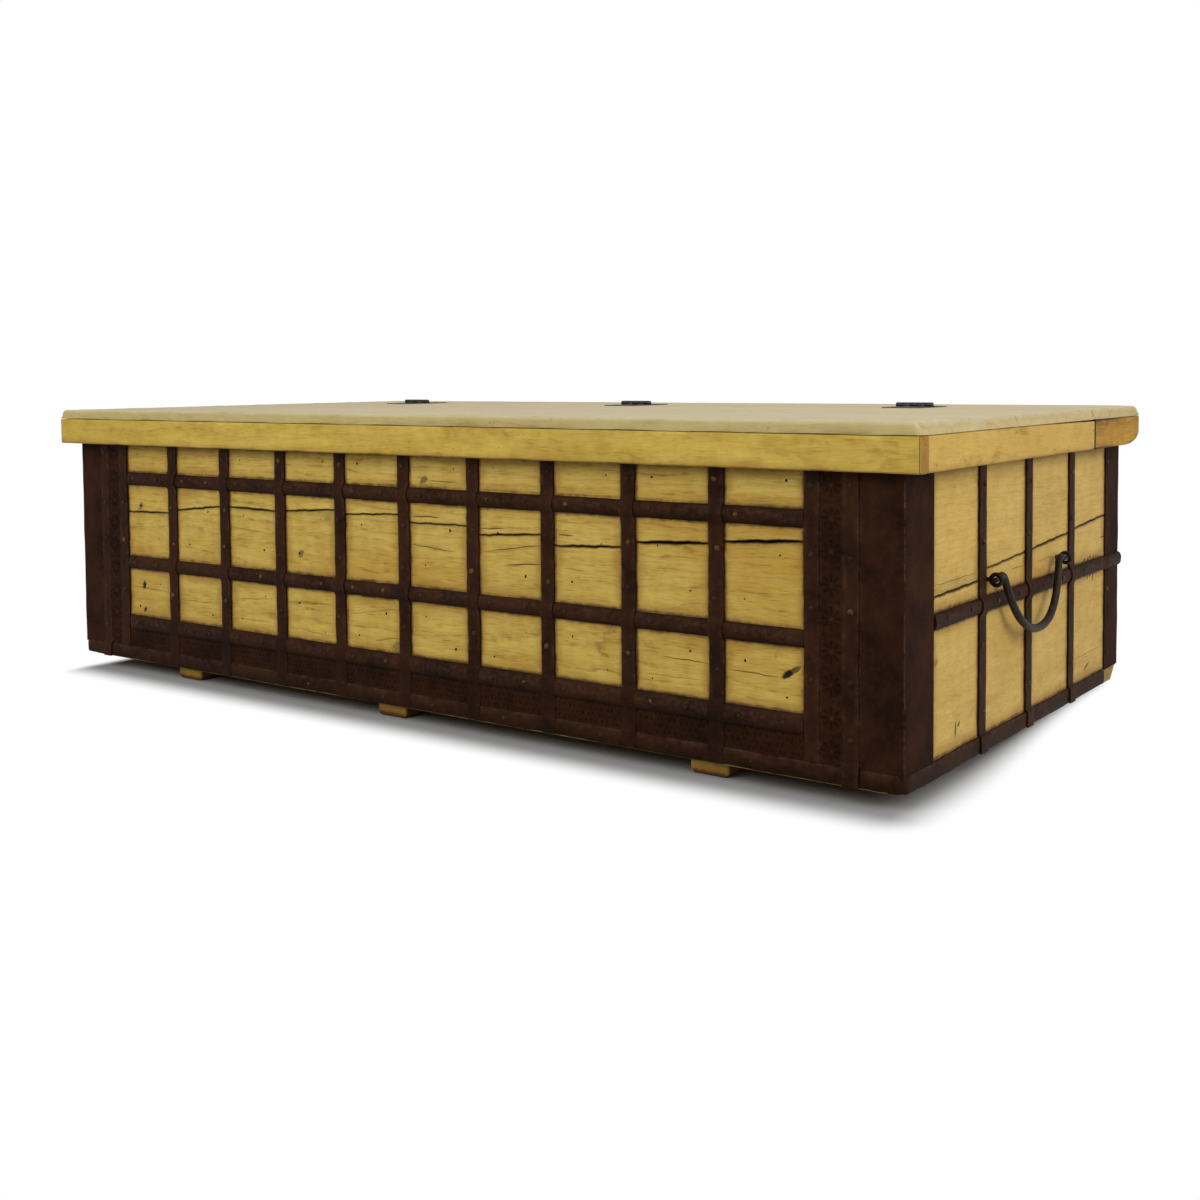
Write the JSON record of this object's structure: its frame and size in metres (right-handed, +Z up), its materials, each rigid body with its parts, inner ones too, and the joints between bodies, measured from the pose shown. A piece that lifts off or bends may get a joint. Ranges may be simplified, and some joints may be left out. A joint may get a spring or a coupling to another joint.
{
  "type": "chest coffee table",
  "caption": "Low iron-bound wooden storage chest used as a coffee table, with a hinged front part of the top, a fixed rear strip, runners and a hanging bail handle on each end.",
  "frame": {"origin": "on the floor, under the middle of the top's outline", "axes": "+X along the length towards the right end, +Y from the front to the back, +Z up"},
  "size_m": [1.5, 0.769, 0.4246],
  "materials": {
    "honey_wood": "old oiled softwood, honey yellow with dark grain, nail holes and cracks",
    "pale_wood": "sanded boards, paler and greyer than the body, matt",
    "strap_iron": "old wrought strip and sheet, matt brown rust",
    "handle_iron": "forged rod, dark and slightly worn",
    "hinge_steel": "dark oiled steel"
  },
  "bodies": {
    "chest": {"floor_front_board": "honey_wood", "floor_middle_board": "honey_wood", "floor_back_board": "honey_wood", "left_runner": "honey_wood", "middle_runner": "honey_wood", "right_runner": "honey_wood", "front_upper_board": "honey_wood", "front_lower_board": "honey_wood", "back_upper_board": "honey_wood", "back_lower_board": "honey_wood", "left_end_upper_board": "honey_wood", "left_end_lower_board": "honey_wood", "right_end_upper_board": "honey_wood", "right_end_lower_board": "honey_wood", "fixed_top_board": "pale_wood", "fixed_top_left_rail": "honey_wood", "fixed_top_right_rail": "honey_wood", "hinge_rail": "honey_wood", "left_hinge_fixed_leaf": "hinge_steel", "middle_hinge_fixed_leaf": "hinge_steel", "right_hinge_fixed_leaf": "hinge_steel", "front_lower_band": "strap_iron", "front_upper_band": "strap_iron", "front_base_band": "strap_iron", "front_strap_1": "strap_iron", "front_strap_2": "strap_iron", "front_strap_3": "strap_iron", "front_strap_4": "strap_iron", "front_strap_5": "strap_iron", "front_strap_6": "strap_iron", "front_strap_7": "strap_iron", "front_strap_8": "strap_iron", "front_strap_9": "strap_iron", "front_left_corner_trim": "strap_iron", "front_right_corner_trim": "strap_iron", "front_left_corner_plate": "strap_iron", "front_right_corner_plate": "strap_iron", "rear_left_corner_plate": "strap_iron", "rear_right_corner_plate": "strap_iron", "foot_band": "strap_iron", "back_foot_band": "strap_iron", "left_end_strapwork": "strap_iron", "right_end_strapwork": "strap_iron", "left_handle_front_eye": "handle_iron", "left_handle_rear_eye": "handle_iron", "right_handle_front_eye": "handle_iron", "right_handle_rear_eye": "handle_iron"},
    "lid": {"lid_front_board": "pale_wood", "lid_rear_board": "pale_wood", "lid_front_rail": "honey_wood", "lid_left_rail": "honey_wood", "lid_right_rail": "honey_wood", "lid_left_batten": "honey_wood", "lid_right_batten": "honey_wood", "left_hinge_lid_leaf": "hinge_steel", "middle_hinge_lid_leaf": "hinge_steel", "right_hinge_lid_leaf": "hinge_steel"},
    "left_handle": {"left_handle_bail": "handle_iron"},
    "right_handle": {"right_handle_bail": "handle_iron"}
  },
  "joints": [
    {"name": "lid_hinge", "type": "hinge", "parent": "chest", "child": "lid", "pos_m": [0, 0.181, 0.4211], "axis": [-1, 0, 0], "range_deg": [0, 180]},
    {"name": "left_handle_swing", "type": "hinge", "parent": "chest", "child": "left_handle", "pos_m": [-0.7345, -0.0105, 0.2235], "axis": [0, 1, 0], "range_deg": [0, 173]},
    {"name": "right_handle_swing", "type": "hinge", "parent": "chest", "child": "right_handle", "pos_m": [0.7345, -0.0105, 0.2235], "axis": [0, -1, 0], "range_deg": [0, 173]}
  ]
}
